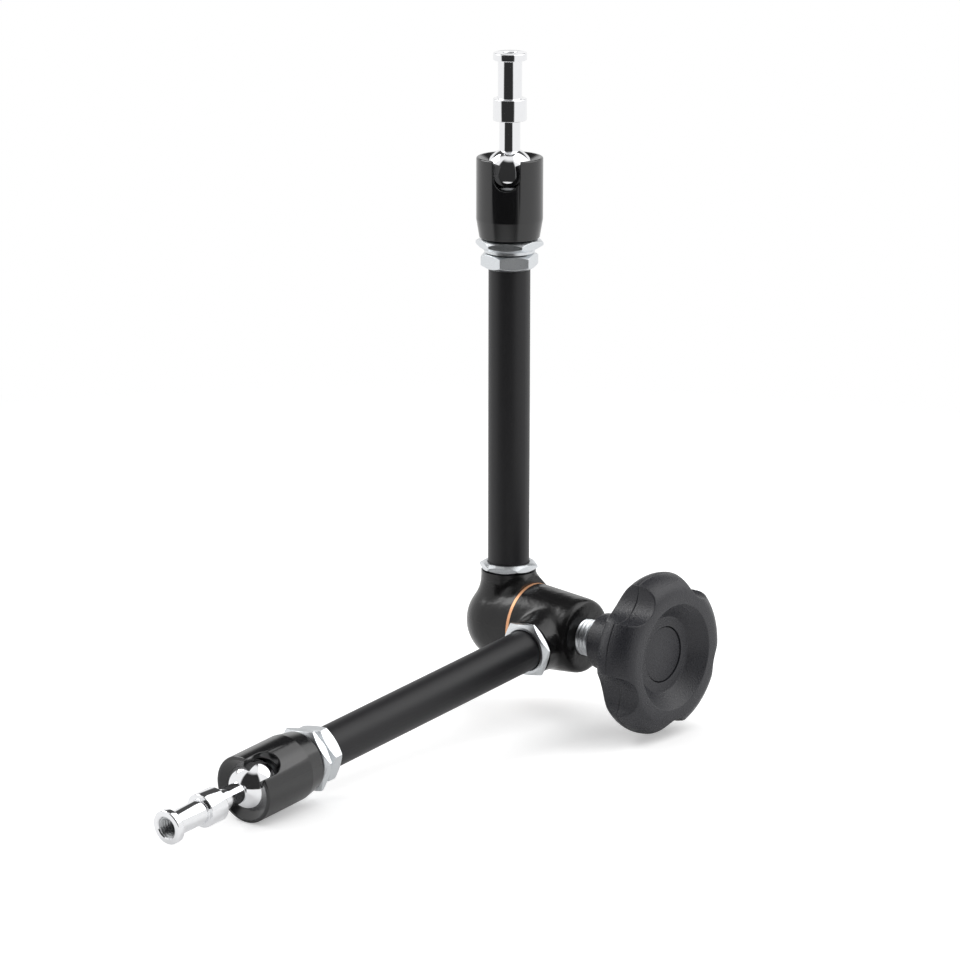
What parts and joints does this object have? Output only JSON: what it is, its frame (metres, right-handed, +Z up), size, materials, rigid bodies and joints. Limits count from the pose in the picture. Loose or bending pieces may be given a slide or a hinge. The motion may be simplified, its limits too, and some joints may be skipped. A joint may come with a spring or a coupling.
{
  "type": "articulating friction arm",
  "caption": "Locking support arm: tubes on an elbow with a large knob, and a notched ball socket with a spigot stud at each end.",
  "frame": {"origin": "middle of the lower stud's collar, on the stud's axis", "axes": "+Z up along the upper arm, +X along the elbow axis towards the knob; the lower arm runs towards -Y and 6.14 degrees down"},
  "size_m": [0.1233, 0.3156, 0.3176],
  "materials": {
    "casting_black": "semi-gloss black paint on cast metal",
    "tube_black": "satin black",
    "socket_black": "gloss black on turned metal",
    "chrome": "polished",
    "zinc": "bright zinc",
    "bare_steel": "machined",
    "copper": "satin copper colour",
    "knob_plastic": "fine moulded grain",
    "guide_plastic": "plain"
  },
  "bodies": {
    "lower_stud": {"lower_ball_stud": "chrome"},
    "lower_socket": {"lower_socket": "socket_black"},
    "lower_arm": {"lower_casting": "casting_black", "lower_tube": "tube_black", "lower_jam_nut": "zinc", "lower_hex_adaptor": "zinc", "lower_lock_nut": "zinc", "lower_rod_guide": "guide_plastic", "pivot_sleeve": "bare_steel", "friction_washer": "copper"},
    "upper_arm": {"upper_casting": "casting_black", "upper_tube": "tube_black", "upper_jam_nut": "zinc", "upper_hex_adaptor": "zinc", "upper_lock_nut": "zinc", "upper_rod_guide": "guide_plastic", "pivot_retaining_ring": "bare_steel"},
    "upper_socket": {"upper_socket": "socket_black"},
    "upper_stud": {"upper_ball_stud": "chrome"},
    "spindle": {"wedge_spindle": "bare_steel"},
    "knob": {"knob_body": "knob_plastic", "knob_screw": "zinc", "knob_cap": "knob_plastic"},
    "lower_thrust": {"lower_push_rod": "bare_steel", "lower_ball_pad": "bare_steel"},
    "upper_thrust": {"upper_push_rod": "bare_steel", "upper_ball_pad": "bare_steel"}
  },
  "joints": [
    {"name": "lower_ball_tilt", "type": "hinge", "parent": "lower_stud", "child": "lower_socket", "pos_m": [0, 0.03035, 0.00327], "axis": [0.809, 0.0629, -0.5844], "range_deg": [-28, 90]},
    {"name": "lower_socket_swivel", "type": "hinge", "parent": "lower_socket", "child": "lower_arm", "pos_m": [0, 0.03035, 0.00327], "axis": [0, -0.9943, -0.107], "range_deg": [-180, 180]},
    {"name": "elbow_pivot", "type": "hinge", "parent": "lower_arm", "child": "upper_arm", "pos_m": [-0.0336, 0.24899, 0.02678], "axis": [1, 0, 0], "continuous": true},
    {"name": "upper_socket_swivel", "type": "hinge", "parent": "upper_arm", "child": "upper_socket", "pos_m": [-0.0336, 0.24899, 0.24668], "axis": [0, 0, 1], "range_deg": [-180, 180]},
    {"name": "upper_ball_tilt", "type": "hinge", "parent": "upper_socket", "child": "upper_stud", "pos_m": [-0.0336, 0.24899, 0.24668], "axis": [0.8339, 0.5519, 0], "range_deg": [-28, 90]},
    {"name": "spindle_slide", "type": "slide", "parent": "lower_arm", "child": "spindle", "axis": [1, 0, 0], "range_m": [0, 0.002]},
    {"name": "knob_turn", "type": "hinge", "parent": "spindle", "child": "knob", "pos_m": [-0.0336, 0.24899, 0.02678], "axis": [1, 0, 0], "range_deg": [0, 360]},
    {"name": "lower_thrust_slide", "type": "slide", "parent": "lower_arm", "child": "lower_thrust", "axis": [0, -0.9943, -0.107], "range_m": [-0.00056, 0]},
    {"name": "upper_thrust_slide", "type": "slide", "parent": "upper_arm", "child": "upper_thrust", "axis": [0, 0, 1], "range_m": [-0.00056, 0]}
  ],
  "couplings": [
    {"joint": "spindle_slide", "follows": "knob_turn", "m_per_rad": 0.00031831},
    {"joint": "lower_thrust_slide", "follows": "knob_turn", "m_per_rad": -0.000088275},
    {"joint": "upper_thrust_slide", "follows": "knob_turn", "m_per_rad": -0.000088275}
  ]
}
